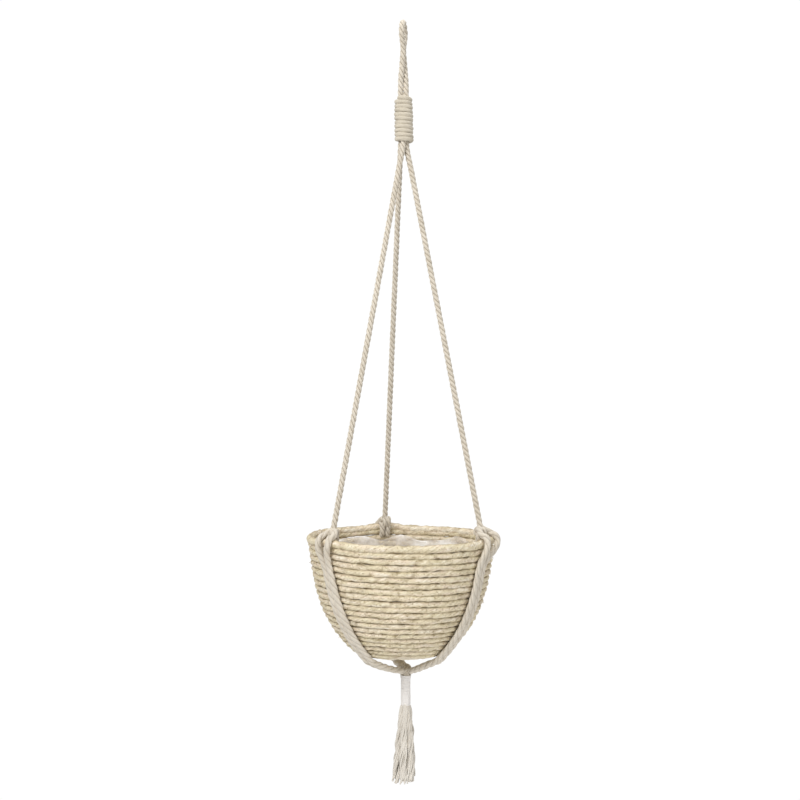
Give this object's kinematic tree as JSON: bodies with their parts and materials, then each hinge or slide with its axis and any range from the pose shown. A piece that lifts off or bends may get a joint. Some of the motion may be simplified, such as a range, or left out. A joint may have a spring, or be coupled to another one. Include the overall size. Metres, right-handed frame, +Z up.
{
  "type": "hanging macrame planter",
  "caption": "Coiled straw plant basket with a film liner, carried in a three-sided cotton rope sling that hangs from a wrapped loop and ends below in a tassel.",
  "frame": {"origin": "inner top of the hanging loop's eye, where a hook touches it", "axes": "+Z up along the line the planter hangs on, +X to the right seen from the front, +Y to the back"},
  "size_m": [0.2424, 0.2464, 0.9669],
  "materials": {
    "cotton_rope": "natural twisted cotton rope, matte and slightly hairy",
    "cotton_cord": "natural cotton cord, wound tight, matte",
    "cotton_yarn": "unravelled natural cotton yarn, matte and wavy",
    "straw_coil": "dry straw twisted into a thick cord and coiled, satin fibres with dark gaps between the rows",
    "clear_film": "thin crumpled translucent film"
  },
  "bodies": {
    "loop": {"hanging_loop": "cotton_rope"},
    "binding": {"top_binding": "cotton_cord"},
    "planter": {"leg_rope_left": "cotton_rope", "leg_rope_right": "cotton_rope", "leg_rope_back": "cotton_rope", "sling_rope_left": "cotton_rope", "sling_rope_right": "cotton_rope", "sling_rope_back": "cotton_rope", "basket_rim": "straw_coil", "basket_wall": "straw_coil", "basket_base": "straw_coil", "film_liner": "clear_film", "gather_knot": "cotton_rope"},
    "neck": {"neck_binding": "cotton_cord"},
    "tassel": {"tassel_tail_1": "cotton_yarn", "tassel_tail_2": "cotton_yarn", "tassel_tail_3": "cotton_yarn", "tassel_tail_4": "cotton_yarn", "tassel_tail_5": "cotton_yarn", "tassel_tail_6": "cotton_yarn"}
  },
  "joints": [
    {"name": "loop_twist", "type": "hinge", "parent": "loop", "child": "binding", "pos_m": [0, 0, -0.0885], "axis": [0, 0, 1], "range_deg": [-90, 90], "stiffness_Nm_per_rad": 0.01},
    {"name": "planter_swing", "type": "hinge", "parent": "binding", "child": "planter", "pos_m": [0, 0, -0.1505], "axis": [0, 1, 0], "range_deg": [-20, 20]},
    {"name": "neck_sway", "type": "hinge", "parent": "planter", "child": "neck", "pos_m": [0.003, 0, -0.8232], "axis": [0, 1, 0], "range_deg": [-35, 35]},
    {"name": "tassel_sway", "type": "hinge", "parent": "neck", "child": "tassel", "pos_m": [0.003, 0, -0.866], "axis": [1, 0, 0], "range_deg": [-30, 30]}
  ]
}
